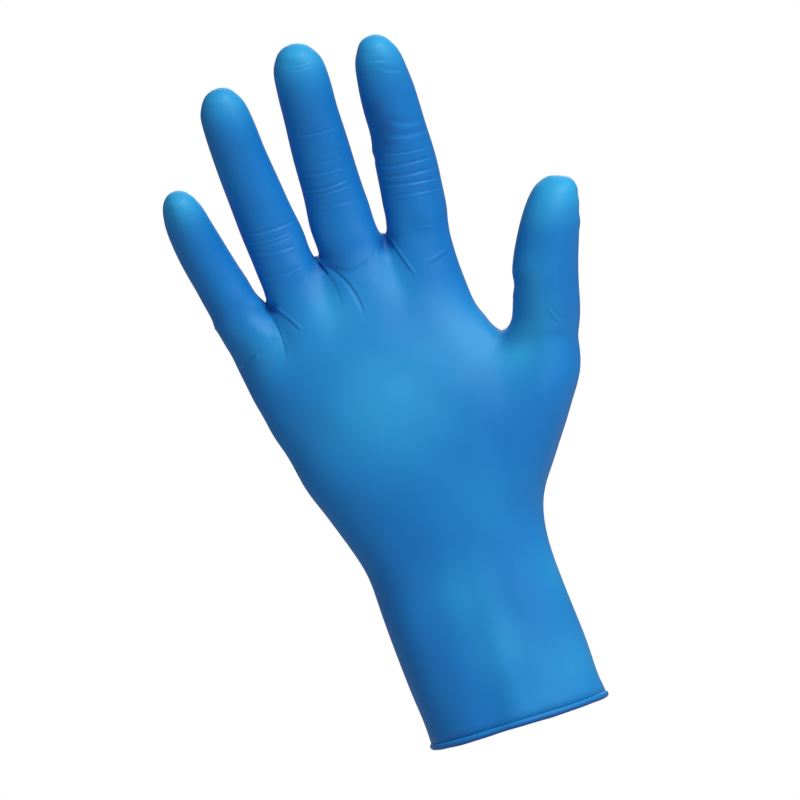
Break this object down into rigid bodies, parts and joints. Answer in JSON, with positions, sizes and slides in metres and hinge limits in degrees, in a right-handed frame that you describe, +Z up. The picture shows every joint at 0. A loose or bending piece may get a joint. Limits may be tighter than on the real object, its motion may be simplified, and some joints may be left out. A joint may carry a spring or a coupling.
{
  "type": "hybrid disposable glove",
  "caption": "Thin-film disposable glove in the shape of a worn hand: hollow palm, fingers and thumb, a straight sleeve and a rolled rim at an open cuff.",
  "frame": {"origin": "centre of the cuff opening, level with the lowest point of the rolled rim, where the wrist goes in", "axes": "+Z runs up the forearm to the fingertips, +X points to the thumb, the palm faces -Y"},
  "size_m": [0.1431, 0.0548, 0.2508],
  "materials": {
    "film": "thin dipped film, satin, medium blue",
    "bead": "rolled film, satin, slightly deeper blue"
  },
  "bodies": {
    "root": {"glove_film": "film", "cuff_bead": "bead"}
  },
  "joints": []
}
